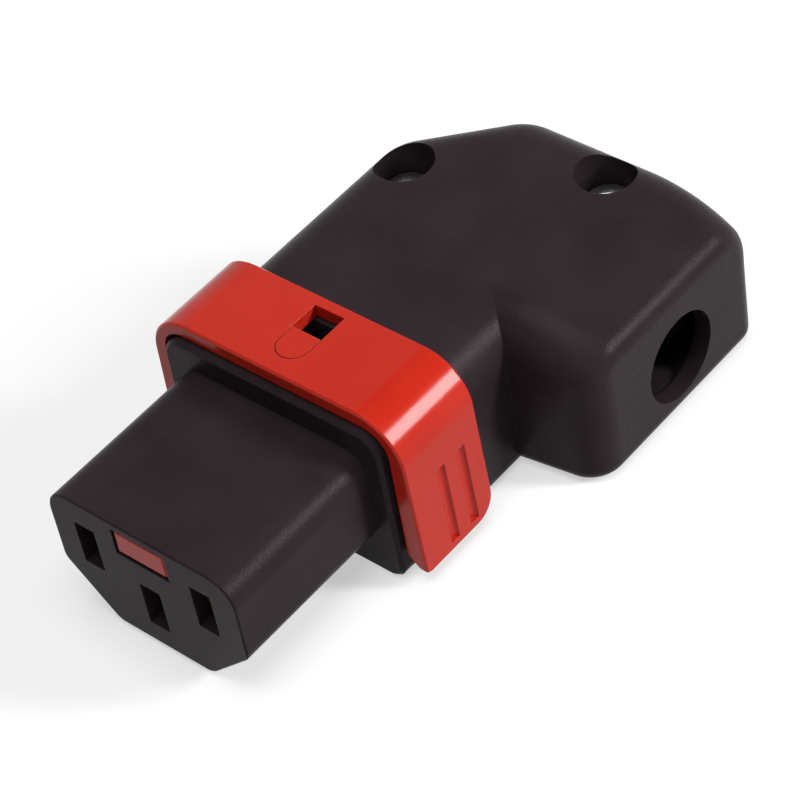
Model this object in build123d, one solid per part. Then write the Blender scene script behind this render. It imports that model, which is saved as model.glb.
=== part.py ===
from build123d import *
import math
import os

# A rewireable right-angle power connector with a sliding release collar, in millimetres.
# The origin lies on the mating face, midway between the line and neutral slots.
# +X runs from the mating face to the rear, the cord leaves towards -Y and +Z is up.

# Contact slots in the mating face
pin_pitch = 14.0
earth_drop = 4.0
slot_width = 2.45
slot_height = 5.2

# Nose and flange of the contact carrier
nose_length = 18.0
nose_width = 22.5
nose_top = 5.45
nose_step = 0.55
nose_chamfer = 5.5
nose_corner = 2.8
nose_soft_corner = 1.6
nose_edge = 0.15
flange_thickness = 1.6
flange_corner = 2.5
flange_lean = 0.35
flange_edge = 0.35
block_length = 10.9

# Housing shells
sleeve_run = 15.7
body_width = 26.4
body_top = 8.3
foot_length = 26.05
foot_lean = 1.2
foot_reach = 21.9
foot_corner = 3.6
cord_end_edge = 2.2
crown_radius = 18.0
crown_run = 10.4
join_overlap = 1.2
rear_chamfer = 10.0
shoulder_radius = 6.0
top_edge = 4.5
inner_bevel = 1.4
bottom_edge = 1.6
wall = 1.8
parting_height = 0.4
fit_gap = 0.1

# Cord entry and cord clamp
cord_hole_radius = 4.7
cord_hole_shift = 1.05
cord_hole_drop = 3.1
clamp_inset = 5.7
clamp_width = 4.6
clamp_height = 3.3
clamp_corner = 1.2
clamp_grip = 0.7
clamp_post_radius = 1.9

# Screws that hold the shells and the cord clamp
left_screw_setback = 13.15
left_screw_y = 8.7
rear_screw_setback = 4.65
rear_screw_y = -8.9
recess_radius = 3.05
recess_depth = 4.6
recess_wall = 1.2
pilot_wall = 2.4
shell_screw_radius = 1.4
shell_screw_length = 9.0
clamp_screw_radius = 1.1
clamp_screw_length = 6.0
head_ratio = 1.8
head_height = 1.6
driver_slot = 0.6
driver_slot_depth = 0.7
pilot_gap = 0.05
shank_gap = 0.2

# Release collar
collar_setback = 0.75
collar_length = 9.9
collar_wall = 1.4
collar_gap = 0.2
collar_side = 1.4
collar_foot_side = 2.1
collar_drop = 8.3
collar_corner = 5.0
collar_rim = 0.2
collar_lead = 1.8
collar_rear_toe = 2.5
collar_front_toe = 0.7
release_travel = 2.5
grip_groove_radius = 0.65
grip_groove_depth = 0.4
grip_groove_top = 2.0
grip_groove_foot = 0.9
grip_groove_pitch = 2.8
grip_groove_setback = 5.65
guide_depth = 0.9
guide_height = 1.4
guide_drop = 4.2
guide_length = 4.2
guide_setback = 0.7

# Release arm
arm_width = 6.0
arm_base = 1.75
arm_height = 2.75
arm_recess = 0.05
arm_edge = 0.2
window_side = 0.2
window_below = 0.3
window_above = 0.15
boss_width = 3.5
boss_setback = 1.9
boss_length = 3.55
boss_gap = 0.1
window_margin = 1.25
slot_gap = 0.3

# Lock plate and its spring
lock_tilt = 15.0
plate_thickness = 0.8
plate_width = 4.8
plate_shoulder = 7.0
plate_foot = 0.2
tongue_reach = 1.45
tongue_width = 3.0
pin_width = 2.0
pin_height = 4.0
pin_gap = 0.2
lock_half = 3.4
lock_floor = 0.9
pivot_setback = 1.4
pivot_gap = 0.2
seat_rib = 0.6
seat_rib_gap = 0.25
seat_rib_width = 0.9
notch_gap = 0.2
spring_strip = 0.35
spring_width = 4.0
spring_rise = 2.0
spring_length = 6.2
spring_rib = 1.5
seat_gap = 0.15

# Contacts and terminals
sheet = 0.5
sleeve_width = 3.4
sleeve_height = 5.6
sleeve_length = 10.6
sleeve_slit = 0.8
chamber_gap = 0.2
chamber_front = 1.5
tail_height = 3.0
earth_tail_jog = 1.5
earth_tail_gap = 0.35
earth_terminal_shift = 1.25
terminal_gap = 0.6
terminal_length = 6.0
terminal_width = 5.0
terminal_height = 7.0
terminal_grip = 2.0
wire_radius = 1.3
terminal_screw_radius = 1.5
terminal_screw_rise = 1.6

# Grooves that lock the carrier between the shells
key_width = 1.8
key_depth = 1.1
key_setback = 5.4

# Places worked out from the sizes above
half_pitch = pin_pitch / 2
body_half = body_width / 2
shell_front = nose_length + flange_thickness
carrier_length = shell_front + block_length
foot_front = shell_front + sleeve_run
body_length = foot_front + foot_length
foot_slope = foot_lean / (foot_reach - body_half)
crown_start = crown_run - foot_reach
join_x = foot_front + top_edge + join_overlap
pivot_z = -earth_drop - pin_height / 2 - pin_gap - plate_foot
chamber_floor = pivot_z - plate_thickness / 2 - pivot_gap
block_half = body_half - wall - fit_gap
block_floor = chamber_floor - lock_floor
body_drop = wall + fit_gap - block_floor
nose_drop = body_drop - nose_step
plate_length = arm_base + tongue_reach - pivot_z
block_top = nose_top - fit_gap
arm_top = arm_base + arm_height
channel_low = arm_base - window_below
channel_high = arm_top + window_above
channel_half = arm_width / 2 + window_side
collar_front = nose_length + collar_setback
collar_rear = collar_front + collar_length
collar_inner_half = body_half + collar_gap
collar_inner_top = body_top + collar_gap
collar_top = collar_inner_top + collar_wall
collar_top_half = collar_inner_half + collar_side
collar_foot_half = collar_inner_half + collar_foot_side
boss_half = boss_width / 2
boss_front = collar_front + boss_setback
boss_rear = boss_front + boss_length
pivot_x = nose_length - pivot_setback
head_seat = body_top - recess_depth
cord_hole_x = foot_front + foot_length / 2 + cord_hole_shift
cord_y = -foot_reach + clamp_inset
clamp_pitch = 2 * (cord_hole_radius - clamp_grip + clamp_post_radius)
clamp_length = clamp_pitch + 2 * clamp_post_radius
clamp_seat = -cord_hole_drop + cord_hole_radius - clamp_grip - clamp_height / 2
shell_screw_places = [
    (body_length - left_screw_setback, left_screw_y),
    (body_length - rear_screw_setback, rear_screw_y),
]
clamp_screw_places = [(cord_hole_x + side * clamp_pitch / 2, cord_y) for side in (-1, 1)]
sleeve_rear = chamber_front + chamber_gap + sleeve_length
lock_front = sleeve_rear - sheet
terminal_front = carrier_length + terminal_gap
earth_tail_y = plate_width / 2 + earth_tail_gap
earth_terminal_y = earth_tail_y + sheet / 2 - earth_terminal_shift
beyond = 1.0


def block(low, high):
    """A box between two opposite corners."""
    size = [b - a for a, b in zip(low, high)]
    return Pos(*low) * Box(*size, align=(Align.MIN, Align.MIN, Align.MIN))


def rod(x, y, low, high, radius):
    """An upright cylinder between two heights."""
    return Pos(x, y, low) * Cylinder(radius, high - low, align=(Align.CENTER, Align.CENTER, Align.MIN))


def along_x(profile, start, length):
    """A profile drawn in (y, z), extruded to the rear."""
    return extrude(Plane.YZ.offset(start) * profile, length)


def outline(*points):
    """A closed face through the points."""
    return make_face(Polyline(*points, close=True))


def rounded(face, corners, radius):
    """The face with the corners nearest the given points rounded."""
    picked = [face.vertices().sort_by_distance((*corner, 0))[0] for corner in corners]
    return fillet(picked, radius)


def slotted_screw(x, y, seat, shank_radius, shank_length):
    """A slotted cheese-head screw whose head sits on the seat height."""
    head_radius = shank_radius * head_ratio
    head = rod(x, y, seat, seat + head_height, head_radius)
    slot_floor = seat + head_height - driver_slot_depth
    head -= block(
        (x - head_radius - beyond, y - driver_slot / 2, slot_floor),
        (x + head_radius + beyond, y + driver_slot / 2, seat + head_height + beyond),
    )
    return head + rod(x, y, seat - shank_length, seat, shank_radius)


def sleeve_and_foot(inset, front, reach, soften):
    """The sleeve and the crowned foot, inset by a wall, with their long top edges softened."""
    half = body_half - inset
    rear = body_length - inset
    low = inset - body_drop
    top = body_top - inset
    sleeve = block((front, -half, low), (join_x, half, top))
    sleeve = soften(sleeve.edges().filter_by(Axis.X).group_by(Axis.Z)[-1])
    diagonal = body_length + body_half - rear_chamfer - inset * math.sqrt(2)
    shoulder = [(diagonal - half, half), (rear, diagonal - rear)]
    crook_x = foot_front + inset
    heel = [(rear, -reach), (crook_x + foot_slope * (reach - half), -reach)]
    step = [(crook_x - foot_slope * half, 0), (join_x, 0)]
    plan = rounded(outline((join_x, half), *shoulder, *heel, *step), shoulder, shoulder_radius - inset)
    foot = extrude(Pos(0, 0, low) * plan, top - low)
    far = 2 * body_length
    axis = Pos(0, crown_start, body_top - crown_radius) * Rot(0, 90, 0)
    barrel = axis * Cylinder(crown_radius - inset, 2 * far)
    foot -= block((-far, -far, top - crown_radius), (far, crown_start, far)) - barrel
    roof = foot.faces().sort_by(Axis.Z)[-1]
    crown = foot.faces().filter_by(GeomType.CYLINDER).sort_by(SortBy.RADIUS)[-1]
    seam = set(roof.edges()) & set(crown.edges())
    rims = [e for e in roof.edges() + crown.edges() if e not in seam and e.center().Y > fit_gap - reach]
    rims = [e for e in rims if e.center().X > join_x + fit_gap or e.center().Y < -fit_gap]
    return sleeve + soften(rims)


def housing():
    """The outer form of both shells together, with its rounded edges and its flat cord end."""
    far = 2 * body_length
    reach = foot_reach + 2 * cord_end_edge
    form = sleeve_and_foot(0, shell_front, reach, lambda edges: fillet(edges, top_edge))
    form &= block((-far, -foot_reach, -far), (far, far, far))
    rim = form.faces().sort_by(Axis.Y)[0].edges().sort_by(Axis.Z)[1:]
    form = fillet(rim, cord_end_edge)
    steep = math.hypot(1, foot_slope)
    turn_y = foot_corner - foot_reach
    turn_x = foot_front - foot_slope * (turn_y + body_half) + foot_corner * steep
    wall_x = turn_x - 2 * foot_corner / steep
    wall_y = turn_y - 2 * foot_corner * foot_slope / steep
    corner = outline((turn_x, turn_y), (wall_x, wall_y), (wall_x, -2 * far), (turn_x, -2 * far))
    corner = extrude(Pos(0, 0, -far) * corner, 2 * far)
    form -= corner - rod(turn_x, turn_y, -far, far, foot_corner)
    sole = form.faces().sort_by(Axis.Z)[0].edges().sort_by(Axis.X)[1:]
    return fillet(sole, bottom_edge)


def cavity():
    """The space inside the shells, open at the front for the carrier."""
    return sleeve_and_foot(
        wall, shell_front - beyond, foot_reach - wall, lambda edges: chamfer(edges, inner_bevel)
    )


def cord_bore():
    """The round cord entry through the end of the foot."""
    center = Pos(cord_hole_x, -foot_reach, -cord_hole_drop)
    return center * Rot(90, 0, 0) * Cylinder(cord_hole_radius, 2 * (wall + beyond))


def carrier_keys(low, high):
    """The ribs on both side walls that enter the carrier's side grooves."""
    start = shell_front + key_setback + fit_gap
    end = shell_front + key_setback + key_width - fit_gap
    inner = block_half - key_depth + fit_gap
    outer = body_half - wall / 2
    left = block((start, inner, low), (end, outer, high))
    return left + mirror(left, Plane.XZ)


def upper_shell(form, space):
    """The cover: recessed screw tubes, the slot for the release boss and the spring stop."""
    far = 2 * body_length
    shell = form & block((-far, -far, parting_height), (far, far, far))
    shell -= space
    ceiling = body_top - wall
    shell += carrier_keys(parting_height, ceiling + wall / 2)
    stop_x = boss_rear + seat_gap + spring_length + seat_gap
    shell += block(
        (stop_x, -spring_width / 2, arm_base),
        (stop_x + spring_rib, spring_width / 2, ceiling + wall / 2),
    )
    for x, y in shell_screw_places:
        shell += rod(x, y, parting_height, body_top, recess_radius + recess_wall) & form
    for x, y in shell_screw_places:
        shell -= rod(x, y, head_seat, body_top + beyond, recess_radius)
        shell -= rod(x, y, parting_height - beyond, head_seat + beyond, shell_screw_radius + shank_gap)
    slot_half = boss_half + slot_gap
    shell -= block(
        (boss_front - slot_gap, -slot_half, ceiling - beyond),
        (boss_rear + release_travel + slot_gap, slot_half, body_top + beyond),
    )
    return shell - cord_bore()


def lower_shell(form, space):
    """The base: screw posts, cord clamp posts, terminal pads and the collar's guide grooves."""
    far = 2 * body_length
    shell = form & block((-far, -far, -far), (far, far, parting_height))
    shell -= space
    floor = -body_drop + wall
    root = floor - wall / 2
    shell += carrier_keys(root, parting_height)
    for x, y in shell_screw_places:
        shell += rod(x, y, root, parting_height, shell_screw_radius + pilot_wall) & form
    for x, y in clamp_screw_places:
        shell += rod(x, y, root, clamp_seat, clamp_post_radius)
    for y in (-half_pitch, half_pitch):
        shell += block(
            (terminal_front, y - terminal_width / 2, root),
            (terminal_front + terminal_length, y + terminal_width / 2, -terminal_height / 2),
        )
    for x, y in shell_screw_places:
        shell -= rod(x, y, head_seat - shell_screw_length - fit_gap, beyond, shell_screw_radius + pilot_gap)
    clamp_head = clamp_seat + clamp_height
    clamp_tip = clamp_head - clamp_screw_length - fit_gap
    for x, y in clamp_screw_places:
        shell -= rod(x, y, clamp_tip, clamp_head, clamp_screw_radius + pilot_gap)
    start = collar_front + guide_setback
    groove = block(
        (start, body_half - guide_depth, -guide_drop),
        (start + guide_length + release_travel, body_half + beyond, -guide_drop + guide_height),
    )
    shell -= groove + mirror(groove, Plane.XZ)
    return shell - cord_bore()


def contact_places():
    """Where the line, neutral and earth contacts stand on the mating face."""
    return {"line": (half_pitch, 0.0), "neutral": (-half_pitch, 0.0), "earth": (0.0, -earth_drop)}


def contact_carrier():
    """The nose with its contact slots, the flange behind it and the block held by the shells."""
    half = nose_width / 2
    cheek = -nose_drop + nose_chamfer
    top_corners = [(-half, nose_top), (half, nose_top)]
    low_corners = [(half, cheek), (half - nose_chamfer, -nose_drop)]
    low_corners += [(-half + nose_chamfer, -nose_drop), (-half, cheek)]
    face = rounded(outline(*top_corners, *low_corners), top_corners, nose_corner)
    face = rounded(face, low_corners, nose_soft_corner)
    nose = along_x(face, 0, nose_length + flange_thickness / 2)
    nose = chamfer(nose.faces().sort_by(Axis.X)[0].edges(), nose_edge)
    flange_half = body_half - flange_lean
    upper = [(-flange_half, body_top), (flange_half, body_top)]
    lower = [(body_half, -body_drop), (-body_half, -body_drop)]
    plate = rounded(outline(*upper, *lower), upper, flange_corner)
    flange = along_x(rounded(plate, lower, bottom_edge), nose_length, flange_thickness)
    flange = chamfer(flange.faces().sort_by(Axis.X)[0].edges(), flange_edge)
    shoulders = [(-block_half, block_top), (block_half, block_top)]
    section = outline(*shoulders, (block_half, block_floor), (-block_half, block_floor))
    section = rounded(section, shoulders, top_edge - wall)
    block_start = nose_length + flange_thickness / 2
    rear_block = along_x(section, block_start, carrier_length - block_start)
    carrier = nose + flange + rear_block
    end = carrier_length + beyond
    for name, (y, z) in contact_places().items():
        carrier -= block(
            (-beyond, y - slot_width / 2, z - slot_height / 2),
            (chamber_front + beyond, y + slot_width / 2, z + slot_height / 2),
        )
        side = sleeve_width / 2 + chamber_gap
        rise = sleeve_height / 2 + chamber_gap
        chamber_end = lock_front + beyond if name == "earth" else end
        carrier -= block((chamber_front, y - side, z - rise), (chamber_end, y + side, z + rise))
    carrier -= block((-beyond, -channel_half, channel_low), (end, channel_half, channel_high))
    carrier -= block((shell_front, -channel_half, channel_low), (end, channel_half, block_top + beyond))
    carrier -= block((lock_front, -lock_half, chamber_floor), (end, lock_half, arm_base))
    rib_x = pivot_x + plate_thickness / 2 + seat_rib_gap
    carrier += block(
        (rib_x, -lock_half - fit_gap, chamber_floor - fit_gap),
        (rib_x + seat_rib_width, lock_half + fit_gap, chamber_floor + seat_rib),
    )
    key_x = shell_front + key_setback
    key = block(
        (key_x, block_half - key_depth, block_floor - beyond),
        (key_x + key_width, block_half + beyond, block_top + beyond),
    )
    return carrier - key - mirror(key, Plane.XZ)


def contact(y, z, side, tail_y):
    """A folded sheet sleeve with a slit spring wall, and the tail that runs to its terminal."""
    start = chamber_front + chamber_gap
    half = sleeve_width / 2
    rise = sleeve_height / 2
    sleeve = block((start, y - half, z - rise), (sleeve_rear, y + half, z + rise))
    sleeve -= block(
        (start - beyond, y - half + sheet, z - rise + sheet),
        (sleeve_rear + beyond, y + half - sheet, z + rise - sheet),
    )
    slit_y = y - side * half
    sleeve -= block(
        (start - beyond, slit_y - sheet, z - sleeve_slit / 2),
        (sleeve_rear + beyond, slit_y + sheet, z + sleeve_slit / 2),
    )
    wall_y = y + side * half - side * sheet / 2
    end = terminal_front + terminal_grip
    route = [(sleeve_rear - sheet, wall_y), (sleeve_rear, wall_y)]
    route += [(sleeve_rear + earth_tail_jog, tail_y), (end, tail_y)]
    low = [(x, py - sheet / 2) for x, py in route]
    high = [(x, py + sheet / 2) for x, py in reversed(route)]
    tail = extrude(Pos(0, 0, z - tail_height / 2) * outline(*low, *high), tail_height)
    return sleeve + tail


def terminal(y, z_low, tail_y, tail_z):
    """A brass pillar terminal: slot for the contact's tail, wire hole and tapped screw hole."""
    half = terminal_width / 2
    top = z_low + terminal_height
    rear = terminal_front + terminal_length
    pillar = block((terminal_front, y - half, z_low), (rear, y + half, top))
    pillar -= block(
        (terminal_front - beyond, tail_y - sheet / 2 - pilot_gap, tail_z - tail_height / 2 - pilot_gap),
        (
            terminal_front + terminal_grip + pilot_gap,
            tail_y + sheet / 2 + pilot_gap,
            tail_z + tail_height / 2 + pilot_gap,
        ),
    )
    wire_z = z_low + terminal_height / 2
    wire_hole = Pos(rear, y, wire_z) * Rot(0, 90, 0) * Cylinder(wire_radius, terminal_length)
    screw_hole = rod(terminal_screw_x(), y, wire_z, top + beyond, terminal_screw_radius + pilot_gap)
    return pillar - wire_hole - screw_hole


def terminal_screw_x():
    """The clamp screw stands over the wire hole, near the terminal's rear."""
    return terminal_front + terminal_length - terminal_screw_radius - pilot_gap - sheet


def terminal_screw(y, z_low):
    """A slotted grub screw that closes on the wire from above."""
    x = terminal_screw_x()
    top = z_low + terminal_height + terminal_screw_rise
    low = z_low + terminal_height / 2 + wire_radius / 2
    screw = rod(x, y, low, top, terminal_screw_radius)
    return screw - block(
        (x - terminal_screw_radius - beyond, y - driver_slot / 2, top - terminal_screw_rise / 2),
        (x + terminal_screw_radius + beyond, y + driver_slot / 2, top + beyond),
    )


def cord_clamp_bar():
    """The bridge that presses the cord's sheath down between its two screws."""
    bar = block(
        (cord_hole_x - clamp_length / 2, cord_y - clamp_width / 2, clamp_seat),
        (cord_hole_x + clamp_length / 2, cord_y + clamp_width / 2, clamp_seat + clamp_height),
    )
    bar = chamfer(bar.edges().filter_by(Axis.Z), clamp_corner)
    arch = Pos(cord_hole_x, cord_y, -cord_hole_drop) * Rot(90, 0, 0)
    bar -= arch * Cylinder(cord_hole_radius - clamp_grip, clamp_width + beyond)
    hole = clamp_screw_radius + shank_gap
    for x, y in clamp_screw_places:
        bar -= rod(x, y, clamp_seat - beyond, clamp_seat + clamp_height + beyond, hole)
    return bar


def boss_plan(front, rear, half):
    """A round-nosed tongue seen from above."""
    nose = Pos(front + half, 0) * Circle(half)
    return nose + Pos((front + half + rear) / 2, 0) * Rectangle(rear - front - half, 2 * half)


def release_arm():
    """The tongue behind the mating face's window, with the boss that snaps into the collar."""
    half = arm_width / 2
    arm = block((arm_recess, -half, arm_base), (boss_rear, half, arm_top))
    front_edges = arm.faces().sort_by(Axis.X)[0].edges()
    arm = chamfer(front_edges, arm_edge)
    plan = boss_plan(boss_front + boss_gap, boss_rear, boss_half - boss_gap)
    arm += extrude(Pos(0, 0, arm_top - fit_gap) * plan, collar_top - arm_top + fit_gap)
    tilt = math.radians(lock_tilt)
    tongue_top = pivot_z + plate_length
    notch_mid = (arm_base + tongue_top) / 2
    notch_x = pivot_x - (notch_mid - pivot_z) * math.tan(tilt)
    notch_half = plate_thickness / math.cos(tilt) / 2
    notch_half += (tongue_top - notch_mid) * math.tan(tilt) + notch_gap
    return arm - block(
        (notch_x - notch_half, -tongue_width / 2 - notch_gap, arm_base - beyond),
        (notch_x + notch_half, tongue_width / 2 + notch_gap, tongue_top + notch_gap),
    )


def lock_plate():
    """The tilting steel plate whose window grips the earth pin, leaning forward when locked."""
    half = plate_thickness / 2
    plate = block((-half, -plate_width / 2, 0), (half, plate_width / 2, plate_shoulder))
    plate += Rot(90, 0, 0) * Cylinder(half, plate_width)
    tongue = tongue_width / 2
    plate += block((-half, -tongue, plate_shoulder - half), (half, tongue, plate_length))
    pin_z = -earth_drop - pivot_z
    side = pin_width / 2 + pin_gap
    rise = pin_height / 2 + pin_gap
    plate -= block((-beyond, -side, pin_z - rise), (beyond, side, pin_z + rise))
    return Pos(pivot_x, 0, pivot_z) * Rot(0, -lock_tilt, 0) * plate


def lock_spring():
    """A folded leaf spring between the arm's rear end and the cover's stop."""
    front = boss_rear + seat_gap
    middle = front + spring_length / 2
    rear = front + spring_length
    high = arm_base + spring_rise
    under = [(front, high), (middle, arm_base), (rear, high)]
    over = [(x, z + spring_strip) for x, z in reversed(under)]
    strip = Plane.XZ * outline(*under, *over)
    return extrude(strip, spring_width / 2, both=True)


def collar_half_at(height):
    """Half the collar's outer width at a height, between its top and its flared foot."""
    share = (collar_top - height) / (collar_top + collar_drop)
    return collar_top_half + share * (collar_foot_half - collar_top_half)


def release_collar():
    """The red saddle over the sleeve: flared sides, grip grooves and the boss window."""
    top_corners = [(-collar_top_half, collar_top), (collar_top_half, collar_top)]
    feet = [(collar_foot_half, -collar_drop), (-collar_foot_half, -collar_drop)]
    face = rounded(outline(*top_corners, *feet), top_corners, collar_corner)
    collar = along_x(face, collar_front, collar_length)
    side = outline(
        (collar_front, collar_top + beyond),
        (collar_rear, collar_top + beyond),
        (collar_rear, -collar_drop),
        (collar_front, -collar_drop),
    )
    side = rounded(side, [(collar_rear, -collar_drop)], collar_rear_toe)
    side = rounded(side, [(collar_front, -collar_drop)], collar_front_toe)
    collar &= extrude(Plane.XZ * side, collar_foot_half + beyond, both=True)
    rims = []
    for end in (0, -1):
        rims += collar.faces().sort_by(Axis.X)[end].edges().sort_by(Axis.Z)[1:]
    collar = chamfer(rims, collar_rim)
    inner_top = [(-collar_inner_half, collar_inner_top), (collar_inner_half, collar_inner_top)]
    below = -collar_drop - beyond
    inner = outline(*inner_top, (collar_inner_half, below), (-collar_inner_half, below))
    inner = rounded(inner, inner_top, flange_corner + collar_gap)
    reach = collar_length + 2 * beyond
    collar -= along_x(inner, collar_front - beyond, reach)
    lead = outline(
        (collar_inner_half - beyond, -collar_drop + collar_lead),
        (collar_inner_half, -collar_drop + collar_lead),
        (collar_inner_half + collar_lead + beyond, below),
        (collar_inner_half - beyond, below),
    )
    wedge = along_x(lead, collar_front - beyond, reach)
    collar -= wedge + mirror(wedge, Plane.XZ)
    window = boss_plan(boss_front, collar_rear - window_margin, boss_half)
    collar -= extrude(Pos(0, 0, collar_inner_top - beyond) * window, collar_wall + 2 * beyond)
    grip_x = collar_front + grip_groove_setback
    flare = math.degrees(math.atan2(collar_foot_half - collar_top_half, collar_top + collar_drop))
    groove_y = collar_half_at(grip_groove_top) + grip_groove_radius - grip_groove_depth
    groove_run = grip_groove_top + collar_drop - grip_groove_foot
    cutter = Cylinder(grip_groove_radius, groove_run, align=(Align.CENTER, Align.CENTER, Align.MAX))
    for side in (-1, 1):
        for step in (-0.5, 0.5):
            place = Pos(grip_x + step * grip_groove_pitch, side * groove_y, grip_groove_top)
            collar -= place * Rot(side * flare, 0, 0) * cutter
    start = collar_front + guide_setback
    guide_top = -guide_drop + guide_height
    guide = block(
        (start + collar_gap, body_half - guide_depth + collar_gap, -guide_drop + collar_gap),
        (start + guide_length - collar_gap, collar_inner_half + collar_gap, guide_top - collar_gap),
    )
    return collar + guide + mirror(guide, Plane.XZ)


form = housing()
space = cavity()
places = contact_places()
pieces = {
    "contact_carrier": contact_carrier(),
    "upper_shell": upper_shell(form, space),
    "lower_shell": lower_shell(form, space),
    "release_collar": release_collar(),
    "release_arm": release_arm(),
    "lock_plate": lock_plate(),
    "lock_spring": lock_spring(),
    "cord_clamp_bar": cord_clamp_bar(),
}
tails = {
    "line": (1, half_pitch + sleeve_width / 2 - sheet / 2),
    "neutral": (-1, -half_pitch - sleeve_width / 2 + sheet / 2),
    "earth": (1, earth_tail_y + sheet / 2),
}
pillars = {
    "line": (half_pitch, -terminal_height / 2),
    "neutral": (-half_pitch, -terminal_height / 2),
    "earth": (earth_terminal_y, -body_drop + wall),
}
for name, (y, z) in places.items():
    side, tail_y = tails[name]
    pillar_y, pillar_low = pillars[name]
    pieces[f"{name}_contact"] = contact(y, z, side, tail_y)
    pieces[f"{name}_terminal"] = terminal(pillar_y, pillar_low, tail_y, z)
    pieces[f"{name}_terminal_screw"] = terminal_screw(pillar_y, pillar_low)
for name, (x, y) in zip(("left_shell_screw", "rear_shell_screw"), shell_screw_places):
    pieces[name] = slotted_screw(x, y, head_seat, shell_screw_radius, shell_screw_length)
for name, (x, y) in zip(("front_clamp_screw", "rear_clamp_screw"), clamp_screw_places):
    pieces[name] = slotted_screw(x, y, clamp_seat + clamp_height, clamp_screw_radius, clamp_screw_length)

os.makedirs("parts", exist_ok=True)
for name, solid in pieces.items():
    export_step(solid, f"parts/{name}.step")
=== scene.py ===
import math
import bmesh
import bpy
from mathutils import Matrix, Vector


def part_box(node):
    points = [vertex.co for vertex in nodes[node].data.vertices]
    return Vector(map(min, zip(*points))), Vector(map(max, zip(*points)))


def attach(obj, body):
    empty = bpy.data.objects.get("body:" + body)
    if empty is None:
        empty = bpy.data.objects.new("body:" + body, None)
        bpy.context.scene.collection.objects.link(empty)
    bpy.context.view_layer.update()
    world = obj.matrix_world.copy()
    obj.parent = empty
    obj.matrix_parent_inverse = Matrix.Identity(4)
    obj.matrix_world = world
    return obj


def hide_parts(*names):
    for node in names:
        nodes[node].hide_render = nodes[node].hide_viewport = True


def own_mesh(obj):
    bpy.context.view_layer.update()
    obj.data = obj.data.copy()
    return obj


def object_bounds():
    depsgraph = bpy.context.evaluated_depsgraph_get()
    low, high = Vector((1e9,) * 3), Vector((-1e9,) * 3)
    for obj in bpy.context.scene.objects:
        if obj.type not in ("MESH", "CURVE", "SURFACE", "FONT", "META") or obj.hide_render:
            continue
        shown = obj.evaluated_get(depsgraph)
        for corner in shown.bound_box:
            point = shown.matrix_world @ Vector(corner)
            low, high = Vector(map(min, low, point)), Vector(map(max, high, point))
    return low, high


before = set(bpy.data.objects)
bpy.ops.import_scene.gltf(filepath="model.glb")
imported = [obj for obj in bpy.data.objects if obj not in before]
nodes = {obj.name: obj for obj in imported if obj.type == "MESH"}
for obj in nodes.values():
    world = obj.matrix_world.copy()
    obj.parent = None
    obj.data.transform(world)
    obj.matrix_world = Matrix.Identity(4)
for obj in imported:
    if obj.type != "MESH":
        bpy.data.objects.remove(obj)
cad_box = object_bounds()

# Contacts and terminals
# Three sleeves folded from rolled brass strip, each with a tail pressed into the slot of a sawn brass
# pillar. The sleeves enter the carrier from behind and the pillars stand on pads in the base.


def shader_group(name, inputs, outputs):
    """A shader node group with its sockets, its input node and its output node."""
    tree = bpy.data.node_groups.new(name, "ShaderNodeTree")
    for title, kind, value in inputs:
        socket = tree.interface.new_socket(title, in_out="INPUT", socket_type=kind)
        if value is not None:
            socket.default_value = value
    for title in outputs:
        tree.interface.new_socket(title, in_out="OUTPUT", socket_type="NodeSocketFloat")
    return tree, tree.nodes.new("NodeGroupInput"), tree.nodes.new("NodeGroupOutput")


def noise(tree, vector, scale, detail):
    """A noise texture on the given vector; the scale is a number or a socket."""
    node = tree.nodes.new("ShaderNodeTexNoise")
    node.inputs["Detail"].default_value = detail
    tree.links.new(vector, node.inputs["Vector"])
    if isinstance(scale, (int, float)):
        node.inputs["Scale"].default_value = scale
    else:
        tree.links.new(scale, node.inputs["Scale"])
    return node.outputs["Fac"]


noise_floor = 0.3
noise_ceiling = 0.7


def ranged(tree, value, low, high, floor=noise_floor, ceiling=noise_ceiling):
    """The value spread from its floor and ceiling, a noise's if not given, to new limits."""
    node = tree.nodes.new("ShaderNodeMapRange")
    node.inputs["From Min"].default_value = floor
    node.inputs["From Max"].default_value = ceiling
    node.inputs["To Min"].default_value = low
    node.inputs["To Max"].default_value = high
    tree.links.new(value, node.inputs["Value"])
    return node.outputs["Result"]


def rolled_metal():
    """Rolling streaks along X and slow stains, for strip and sawn metal."""
    inputs = [
        ("Vector", "NodeSocketVector", None),
        ("Streak Stretch", "NodeSocketVector", (1.0, 1.0, 1.0)),
        ("Stain Scale", "NodeSocketFloat", 400.0),
    ]
    tree, given, made = shader_group("rolled_metal", inputs, ["Streak", "Stain"])
    stretch = tree.nodes.new("ShaderNodeVectorMath")
    stretch.operation = "MULTIPLY"
    tree.links.new(given.outputs["Vector"], stretch.inputs[0])
    tree.links.new(given.outputs["Streak Stretch"], stretch.inputs[1])
    streak = noise(tree, stretch.outputs["Vector"], scale=1.0, detail=4.0)
    stain = noise(tree, given.outputs["Vector"], given.outputs["Stain Scale"], detail=3.0)
    tree.links.new(streak, made.inputs["Streak"])
    tree.links.new(stain, made.inputs["Stain"])
    return tree


def finish_material(name):
    """A new material with its shader and the piece's own coordinates."""
    material = bpy.data.materials.new(name)
    material.use_nodes = True
    tree = material.node_tree
    tree.nodes.clear()
    shader = tree.nodes.new("ShaderNodeBsdfPrincipled")
    surface = tree.nodes.new("ShaderNodeOutputMaterial")
    tree.links.new(shader.outputs["BSDF"], surface.inputs["Surface"])
    place = tree.nodes.new("ShaderNodeTexCoord").outputs["Object"]
    return material, tree, shader, place


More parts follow.
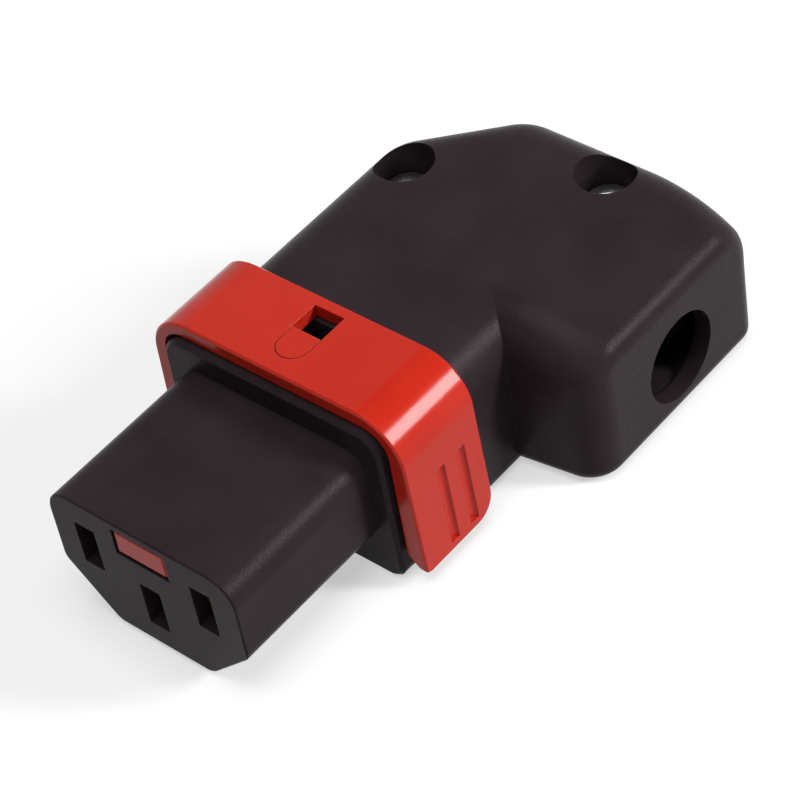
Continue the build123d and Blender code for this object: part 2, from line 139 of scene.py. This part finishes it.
def group_node(tree, group, place, **values):
    """The group placed in a material with its own values; an underscore stands for a space."""
    node = tree.nodes.new("ShaderNodeGroup")
    node.node_tree = group
    tree.links.new(place, node.inputs["Vector"])
    for title, value in values.items():
        node.inputs[title.replace("_", " ")].default_value = value
    return node


def toned(tree, value, dark, light):
    """A colour that goes from dark to light over the value."""
    ramp = tree.nodes.new("ShaderNodeValToRGB")
    ramp.color_ramp.elements[0].position = noise_floor
    ramp.color_ramp.elements[1].position = noise_ceiling
    ramp.color_ramp.elements[0].color = (*dark, 1.0)
    ramp.color_ramp.elements[1].color = (*light, 1.0)
    tree.links.new(value, ramp.inputs["Fac"])
    return ramp.outputs["Color"]


def relief(tree, shader, height, strength, depth, edge):
    """Fine relief on a surface whose sharp edges catch the light as if slightly rounded."""
    rounding = tree.nodes.new("ShaderNodeBevel")
    rounding.samples = 6
    rounding.inputs["Radius"].default_value = edge
    bump = tree.nodes.new("ShaderNodeBump")
    bump.inputs["Strength"].default_value = strength
    bump.inputs["Distance"].default_value = depth
    tree.links.new(height, bump.inputs["Height"])
    tree.links.new(rounding.outputs["Normal"], bump.inputs["Normal"])
    tree.links.new(bump.outputs["Normal"], shader.inputs["Normal"])


rolled = rolled_metal()


def metal(name, dark, light, stretch, stain_scale, smooth, dull, edge=0.00008):
    """Bare rolled metal with streaks in its polish and slow stains in its colour."""
    material, tree, shader, place = finish_material(name)
    strip = group_node(tree, rolled, place, Streak_Stretch=stretch, Stain_Scale=stain_scale)
    shader.inputs["Metallic"].default_value = 1.0
    tree.links.new(toned(tree, strip.outputs["Stain"], dark, light), shader.inputs["Base Color"])
    tree.links.new(ranged(tree, strip.outputs["Streak"], smooth, dull), shader.inputs["Roughness"])
    relief(tree, shader, strip.outputs["Streak"], strength=0.2, depth=0.00001, edge=edge)
    return material


def dress(material, *names):
    """The CAD nodes keep their shape and take the material."""
    for name in names:
        nodes[name].material_slots[0].material = material


brass = metal(
    "rolled_brass",
    dark=(0.55, 0.36, 0.13),
    light=(0.74, 0.52, 0.21),
    stretch=(500.0, 9000.0, 9000.0),
    stain_scale=450.0,
    smooth=0.22,
    dull=0.42,
)
dress(brass, "line_contact", "neutral_contact", "earth_contact")
dress(brass, "line_terminal", "neutral_terminal", "earth_terminal")

# Terminal screws
# Slotted grub screws of zinc-plated steel, one in each brass pillar, that close on the wire from above.
# The thread is rolled, the slot is sawn across the plain top.

zinc = metal(
    "zinc_plated_steel",
    dark=(0.50, 0.50, 0.52),
    light=(0.72, 0.72, 0.73),
    stretch=(6000.0, 6000.0, 900.0),
    stain_scale=600.0,
    smooth=0.24,
    dull=0.36,
    edge=0.00028,
)


def math_node(tree, operation, first, second):
    """One sum in a node tree; each side is a socket or a number."""
    node = tree.nodes.new("ShaderNodeMath")
    node.operation = operation
    for socket, value in zip(node.inputs, (first, second)):
        if isinstance(value, (int, float)):
            socket.default_value = value
        else:
            tree.links.new(value, socket)
    return node.outputs["Value"]


def screw_tree():
    """Screws with a rolled thread and a slotted, slightly domed top, one on each point of the seats."""
    tree = bpy.data.node_groups.new("threaded_screws", "GeometryNodeTree")
    sockets = tree.interface
    sockets.new_socket("Seats", in_out="INPUT", socket_type="NodeSocketGeometry")
    sizes = ["Shank Radius", "Shank Length", "Thread Pitch", "Thread Depth"]
    sizes += ["Head Radius", "Head Height", "Dome", "Slot Width", "Slot Depth"]
    for title in sizes:
        sockets.new_socket(title, in_out="INPUT", socket_type="NodeSocketFloat")
    sockets.new_socket("Finish", in_out="INPUT", socket_type="NodeSocketMaterial")
    sockets.new_socket("Screws", in_out="OUTPUT", socket_type="NodeSocketGeometry")
    given = tree.nodes.new("NodeGroupInput").outputs
    made = tree.nodes.new("NodeGroupOutput")

    def node(kind, links=(), **values):
        item = tree.nodes.new(kind)
        for title, value in values.items():
            item.inputs[title.replace("_", " ")].default_value = value
        for socket, title in links:
            tree.links.new(socket, item.inputs[title])
        return item

    def moved(mesh, x, z):
        shift = node("ShaderNodeCombineXYZ")
        for socket, value in ((shift.inputs["X"], x), (shift.inputs["Z"], z)):
            if isinstance(value, (int, float)):
                socket.default_value = value
            else:
                tree.links.new(value, socket)
        links = [(mesh, "Geometry"), (shift.outputs["Vector"], "Translation")]
        return node("GeometryNodeTransform", links).outputs["Geometry"]

    buried_share = 0.5
    length, pitch, depth = given["Shank Length"], given["Thread Pitch"], given["Thread Depth"]
    core_radius = math_node(tree, "SUBTRACT", given["Shank Radius"], depth)
    bury = math_node(tree, "MULTIPLY", depth, buried_share)
    core_length = math_node(tree, "ADD", length, bury)
    core = node(
        "GeometryNodeMeshCylinder", [(core_radius, "Radius"), (core_length, "Depth")], Vertices=32
    ).outputs["Mesh"]
    half_core = math_node(tree, "MULTIPLY", core_length, 0.5)
    core = moved(core, 0.0, math_node(tree, "SUBTRACT", bury, half_core))

    ridge_share = 0.72
    ridge = math_node(tree, "MULTIPLY", depth, ridge_share)
    thread_run = math_node(tree, "SUBTRACT", length, pitch)
    turns = math_node(tree, "DIVIDE", thread_run, pitch)
    helix_radius = math_node(tree, "SUBTRACT", given["Shank Radius"], ridge)
    helix_links = [(turns, "Rotations"), (helix_radius, "Start Radius"), (helix_radius, "End Radius")]
    helix = node("GeometryNodeCurveSpiral", [*helix_links, (thread_run, "Height")], Resolution=24)
    upright = node("GeometryNodeSetCurveNormal", [(helix.outputs["Curve"], "Curve")])
    upright.mode = "Z_UP"
    crest_out = node("GeometryNodeSetCurveTilt", [(upright.outputs["Curve"], "Curve")], Tilt=math.pi)
    profile = node("GeometryNodeCurvePrimitiveCircle", [(ridge, "Radius")], Resolution=3)
    thread = node(
        "GeometryNodeCurveToMesh",
        [(crest_out.outputs["Curve"], "Curve"), (profile.outputs["Curve"], "Profile Curve")],
        Fill_Caps=True,
    ).outputs["Mesh"]
    thread_drop = math_node(tree, "ADD", thread_run, ridge)
    thread = moved(thread, 0.0, math_node(tree, "MULTIPLY", thread_drop, -1.0))

    head = node(
        "GeometryNodeMeshCylinder",
        [(given["Head Radius"], "Radius"), (given["Head Height"], "Depth")],
        Vertices=48,
        Side_Segments=4,
        Fill_Segments=6,
    ).outputs["Mesh"]
    position = node("GeometryNodeInputPosition").outputs["Position"]
    place = node("ShaderNodeSeparateXYZ", [(position, "Vector")])
    across = math_node(
        tree,
        "ADD",
        math_node(tree, "POWER", place.outputs["X"], 2.0),
        math_node(tree, "POWER", place.outputs["Y"], 2.0),
    )
    share = math_node(tree, "DIVIDE", across, math_node(tree, "POWER", given["Head Radius"], 2.0))
    middle_rise = math_node(tree, "DIVIDE", place.outputs["Z"], given["Head Height"])
    rise = math_node(tree, "ADD", middle_rise, 0.5)
    outward = math_node(tree, "POWER", share, 2.0)
    fall = math_node(tree, "MULTIPLY", outward, math_node(tree, "POWER", rise, 2.0))
    drop = math_node(tree, "MULTIPLY", math_node(tree, "MULTIPLY", fall, given["Dome"]), -1.0)
    offset = node("ShaderNodeCombineXYZ", [(drop, "Z")])
    domed = node("GeometryNodeSetPosition", [(head, "Geometry"), (offset.outputs["Vector"], "Offset")])
    half_head = math_node(tree, "MULTIPLY", given["Head Height"], 0.5)
    head = moved(domed.outputs["Geometry"], 0.0, half_head)

    saw_length = math_node(tree, "MULTIPLY", given["Head Radius"], 3.0)
    saw_height = math_node(tree, "MULTIPLY", given["Slot Depth"], 2.0)
    saw_links = [(saw_length, "X"), (given["Slot Width"], "Y"), (saw_height, "Z")]
    saw_size = node("ShaderNodeCombineXYZ", saw_links)
    saw = node("GeometryNodeMeshCube", [(saw_size.outputs["Vector"], "Size")]).outputs["Mesh"]
    saw = moved(saw, 0.0, given["Head Height"])
    slotted = tree.nodes.new("GeometryNodeMeshBoolean")
    slotted.operation = "DIFFERENCE"
    slotted.solver = "EXACT"
    tree.links.new(head, slotted.inputs["Mesh 1"])
    tree.links.new(saw, slotted.inputs["Mesh 2"])

    joined = tree.nodes.new("GeometryNodeJoinGeometry")
    for mesh in (slotted.outputs["Mesh"], core, thread):
        tree.links.new(mesh, joined.inputs["Geometry"])
    turn = node("GeometryNodeInputNamedAttribute", Name="turn")
    turned = node("ShaderNodeCombineXYZ", [(turn.outputs["Attribute"], "Z")])
    placed = node(
        "GeometryNodeInstanceOnPoints",
        [
            (given["Seats"], "Points"),
            (joined.outputs["Geometry"], "Instance"),
            (turned.outputs["Vector"], "Rotation"),
        ],
    )
    realized = node("GeometryNodeRealizeInstances", [(placed.outputs["Instances"], "Geometry")])
    finished = node(
        "GeometryNodeSetMaterial",
        [(realized.outputs["Geometry"], "Geometry"), (given["Finish"], "Material")],
    )
    tree.links.new(finished.outputs["Geometry"], made.inputs["Screws"])
    return tree


threaded_screws = screw_tree()
thread_depth_share = 0.4
slot_width = 0.0006
slot_depth = 0.0008
crease = math.radians(35)


def screws(name, replaced, head_height, shank_ratio, thread_pitch, dome, turns):
    """Threaded screws in place of plain ones, sized by them; turns are the slots' angles in degrees."""
    seats = []
    for node_name in replaced:
        low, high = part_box(node_name)
        seats.append(((low.x + high.x) / 2, (low.y + high.y) / 2, high.z - head_height))
        head_radius = (high.y - low.y) / 2
        shank_length = high.z - low.z - head_height
    mesh = bpy.data.meshes.new(name)
    mesh.from_pydata(seats, [], [])
    turn = mesh.attributes.new("turn", "FLOAT", "POINT")
    for item, angle in zip(turn.data, turns):
        item.value = math.radians(angle)
    piece = bpy.data.objects.new(name, mesh)
    bpy.context.scene.collection.objects.link(piece)
    modifier = piece.modifiers.new(name, "NODES")
    modifier.node_group = threaded_screws
    values = {
        "Shank Radius": head_radius * shank_ratio,
        "Shank Length": shank_length,
        "Thread Pitch": thread_pitch,
        "Thread Depth": thread_depth_share * thread_pitch,
        "Head Radius": head_radius,
        "Head Height": head_height,
        "Dome": dome,
        "Slot Width": slot_width,
        "Slot Depth": slot_depth,
        "Finish": zinc,
    }
    for item in threaded_screws.interface.items_tree:
        if item.in_out == "INPUT" and item.name in values:
            modifier[item.identifier] = values[item.name]
    made = piece.evaluated_get(bpy.context.evaluated_depsgraph_get())
    solid = bpy.data.meshes.new_from_object(made)
    piece.modifiers.clear()
    piece.data = solid
    solid.name = name
    solid.shade_smooth()
    solid.set_sharp_from_angle(angle=crease)
    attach(piece, "housing")
    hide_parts(*replaced)


screws(
    "terminal_screws",
    ["line_terminal_screw", "neutral_terminal_screw", "earth_terminal_screw"],
    head_height=0.0016,
    shank_ratio=1.0,
    thread_pitch=0.0005,
    dome=0.0,
    turns=(25, 70, -40),
)

# Contact carrier
# The nose, the flange and the block behind them, moulded in one piece of black glass-filled polyamide.
# Its tool was spark-eroded, so the skin has a fine even grain; the shells grip its two side grooves.


def eroded_skin():
    """The grain that a spark-eroded tool leaves on moulded plastic, and slow clouds in its gloss."""
    inputs = [
        ("Vector", "NodeSocketVector", None),
        ("Grain Scale", "NodeSocketFloat", 4000.0),
        ("Cloud Scale", "NodeSocketFloat", 150.0),
    ]
    tree, given, made = shader_group("spark_eroded_skin", inputs, ["Grain", "Cloud"])
    grain = noise(tree, given.outputs["Vector"], given.outputs["Grain Scale"], detail=2.0)
    cloud = noise(tree, given.outputs["Vector"], given.outputs["Cloud Scale"], detail=4.0)
    tree.links.new(grain, made.inputs["Grain"])
    tree.links.new(cloud, made.inputs["Cloud"])
    return tree


eroded = eroded_skin()


def moulded(name, dark, light, grain_scale, smooth, dull, strength, depth, edge, level, tint):
    """Moulded plastic with the grain of its tool."""
    material, tree, shader, place = finish_material(name)
    skin = group_node(tree, eroded, place, Grain_Scale=grain_scale)
    shader.inputs["Specular IOR Level"].default_value = level
    shader.inputs["Specular Tint"].default_value = (*tint, 1.0)
    tree.links.new(toned(tree, skin.outputs["Cloud"], dark, light), shader.inputs["Base Color"])
    tree.links.new(ranged(tree, skin.outputs["Cloud"], smooth, dull), shader.inputs["Roughness"])
    relief(tree, shader, skin.outputs["Grain"], strength, depth, edge)
    return material


black = moulded(
    "black_polyamide",
    dark=(0.0214, 0.0143, 0.0167),
    light=(0.0284, 0.0198, 0.0228),
    grain_scale=5000.0,
    smooth=0.26,
    dull=0.33,
    strength=0.65,
    depth=0.00005,
    edge=0.00012,
    level=0.044,
    tint=(1.0, 0.86, 0.95),
)
dress(black, "contact_carrier")

# Lock plate and return spring
# A stamped steel plate that tilts on its foot to grip the earth pin, and a folded leaf of spring steel
# that shortens as the collar is drawn back. Both lie loose, held only by the pieces around them.

steel = metal(
    "stamped_steel",
    dark=(0.42, 0.42, 0.43),
    light=(0.62, 0.62, 0.62),
    stretch=(700.0, 7000.0, 7000.0),
    stain_scale=350.0,
    smooth=0.22,
    dull=0.40,
)
dress(steel, "lock_plate")

leaf = bmesh.new()
leaf.from_mesh(nodes["lock_spring"].data)
bmesh.ops.remove_doubles(leaf, verts=leaf.verts, dist=0.000001)
leaf_mesh = bpy.data.meshes.new("return_spring")
leaf.to_mesh(leaf_mesh)
leaf.free()
leaf_mesh.shade_flat()
leaf_mesh.materials.append(steel)
return_spring = bpy.data.objects.new("return_spring", leaf_mesh)
bpy.context.scene.collection.objects.link(return_spring)
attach(return_spring, "housing")
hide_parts("lock_spring")
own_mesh(return_spring)

# Release arm and collar
# Red moulded polycarbonate: the arm runs through the nose to the mating face, and its boss stands in the
# window of the saddle-shaped collar that slides on the sleeve. The skin is smoother than the housing's.

red = moulded(
    "red_polycarbonate",
    dark=(0.470, 0.0185, 0.0080),
    light=(0.515, 0.0225, 0.0100),
    grain_scale=5200.0,
    smooth=0.16,
    dull=0.20,
    strength=0.12,
    depth=0.00002,
    edge=0.00012,
    level=0.155,
    tint=(1.0, 1.0, 1.0),
)
dress(red, "release_arm", "release_collar")

# Base, cord clamp and clamp screws
# The base is moulded in the same black polyamide as the carrier. The arched clamp bar holds the cord's
# sheath down on two posts with two pan-head screws.

dress(black, "lower_shell", "cord_clamp_bar")
screws(
    "clamp_screws",
    ["front_clamp_screw", "rear_clamp_screw"],
    head_height=0.0016,
    shank_ratio=1 / 1.8,
    thread_pitch=0.0008,
    dome=0.0005,
    turns=(10, 55),
)

# Cover and shell screws
# The cover is moulded like the base and closes it from above. Two longer pan-head screws stand deep in
# round recesses and bite into posts of the base.

dress(black, "upper_shell")
screws(
    "shell_screws",
    ["left_shell_screw", "rear_shell_screw"],
    head_height=0.0016,
    shank_ratio=1 / 1.8,
    thread_pitch=0.001,
    dome=0.0008,
    turns=(-38, -52),
)

# Studio
# A pale paper floor under the object and white surroundings that darken overhead. One broad soft light
# hangs above, and a small soft panel on the cord side draws the bright line along the collar's corner.


def seen_directly(tree):
    """1 where a camera, glossy or transmission ray meets the backdrop."""
    path = tree.nodes.new("ShaderNodeLightPath")
    total = path.outputs["Is Camera Ray"]
    for title in ("Is Glossy Ray", "Is Transmission Ray"):
        total = math_node(tree, "MAXIMUM", total, path.outputs[title])
    return total


floor_size = 3.0
floor_height = cad_box[0].z
paper_grey = 0.50
paper_glow = 0.52
floor_mesh = bpy.data.meshes.new("floor")
side = floor_size / 2
corners = [(-side, -side, floor_height), (side, -side, floor_height)]
corners += [(side, side, floor_height), (-side, side, floor_height)]
floor_mesh.from_pydata(corners, [], [(0, 1, 2, 3)])
floor = bpy.data.objects.new("floor", floor_mesh)
bpy.context.scene.collection.objects.link(floor)
floor_paper = bpy.data.materials.new("floor_paper")
floor_paper.use_nodes = True
tree = floor_paper.node_tree
tree.nodes.clear()
matt = tree.nodes.new("ShaderNodeBsdfDiffuse")
matt.inputs["Color"].default_value = (paper_grey, paper_grey, paper_grey, 1.0)
glow = tree.nodes.new("ShaderNodeEmission")
tree.links.new(math_node(tree, "MULTIPLY", seen_directly(tree), paper_glow), glow.inputs["Strength"])
both = tree.nodes.new("ShaderNodeAddShader")
tree.links.new(matt.outputs["BSDF"], both.inputs[0])
tree.links.new(glow.outputs["Emission"], both.inputs[1])
surface = tree.nodes.new("ShaderNodeOutputMaterial")
tree.links.new(both.outputs["Shader"], surface.inputs["Surface"])
floor_mesh.materials.append(floor_paper)

fill_strength = 0.10
zenith_strength = 0.12
zenith_start = 0.68
zenith_end = 0.76
world = bpy.data.worlds.new("studio")
world.use_nodes = True
bpy.context.scene.world = world
tree = world.node_tree
tree.nodes.clear()
fill = tree.nodes.new("ShaderNodeBackground")
fill.inputs["Color"].default_value = (1.0, 1.0, 1.0, 1.0)
fill.inputs["Strength"].default_value = fill_strength
white = tree.nodes.new("ShaderNodeBackground")
white.inputs["Color"].default_value = (1.0, 1.0, 1.0, 1.0)
height = tree.nodes.new("ShaderNodeSeparateXYZ")
tree.links.new(tree.nodes.new("ShaderNodeTexCoord").outputs["Generated"], height.inputs["Vector"])
darkening = ranged(tree, height.outputs["Z"], 1.0, zenith_strength, zenith_start, zenith_end)
tree.links.new(darkening, white.inputs["Strength"])
mixed = tree.nodes.new("ShaderNodeMixShader")
tree.links.new(seen_directly(tree), mixed.inputs["Fac"])
tree.links.new(fill.outputs["Background"], mixed.inputs[1])
tree.links.new(white.outputs["Background"], mixed.inputs[2])
surface = tree.nodes.new("ShaderNodeOutputWorld")
tree.links.new(mixed.outputs["Shader"], surface.inputs["Surface"])

target = (cad_box[0] + cad_box[1]) / 2


def facing(place, right, up, back):
    """The matrix of a lamp or a camera at the place, which looks away from its back."""
    return Matrix.Translation(place) @ Matrix((right, up, back)).transposed().to_4x4()


def soft_light(name, direction, distance, width, length, power):
    """A rectangular soft light that faces the object, its length along the object's X."""
    data = bpy.data.lights.new(name, "AREA")
    data.shape = "RECTANGLE"
    data.size = width
    data.size_y = length
    data.energy = power
    lamp = bpy.data.objects.new(name, data)
    bpy.context.scene.collection.objects.link(lamp)
    back = Vector(direction).normalized()
    up = Vector((1.0, 0.0, 0.0))
    right = up.cross(back).normalized()
    up = back.cross(right)
    lamp.matrix_world = facing(target + back * distance, right, up, back)


soft_light("overhead", (-0.12, -0.06, 0.99), distance=0.8, width=0.6, length=0.6, power=4.8)
soft_light("side_panel", (0.48, -0.735, 0.475), distance=0.6, width=0.24, length=0.10, power=3.2)

camera_data = bpy.data.cameras.new("camera")
camera_data.lens = 132.27
camera_data.sensor_width = 36.0
camera_data.clip_start = 0.01
camera = bpy.data.objects.new("camera", camera_data)
bpy.context.scene.collection.objects.link(camera)
eye = Vector((-0.100506, -0.145330, 0.189578))
azimuth = math.radians(-42.740)
elevation = math.radians(44.824)
roll = math.radians(-10.992)
outward = math.cos(elevation)
back = Vector((math.sin(azimuth) * outward, -math.cos(azimuth) * outward, math.sin(elevation)))
level = Vector((math.cos(azimuth), math.sin(azimuth), 0.0))
upright = back.cross(level)
right = math.cos(roll) * level + math.sin(roll) * upright
up = math.cos(roll) * upright - math.sin(roll) * level
camera.matrix_world = facing(eye, right, up, back)
bpy.context.scene.camera = camera
bpy.context.scene.view_settings.view_transform = "Standard"
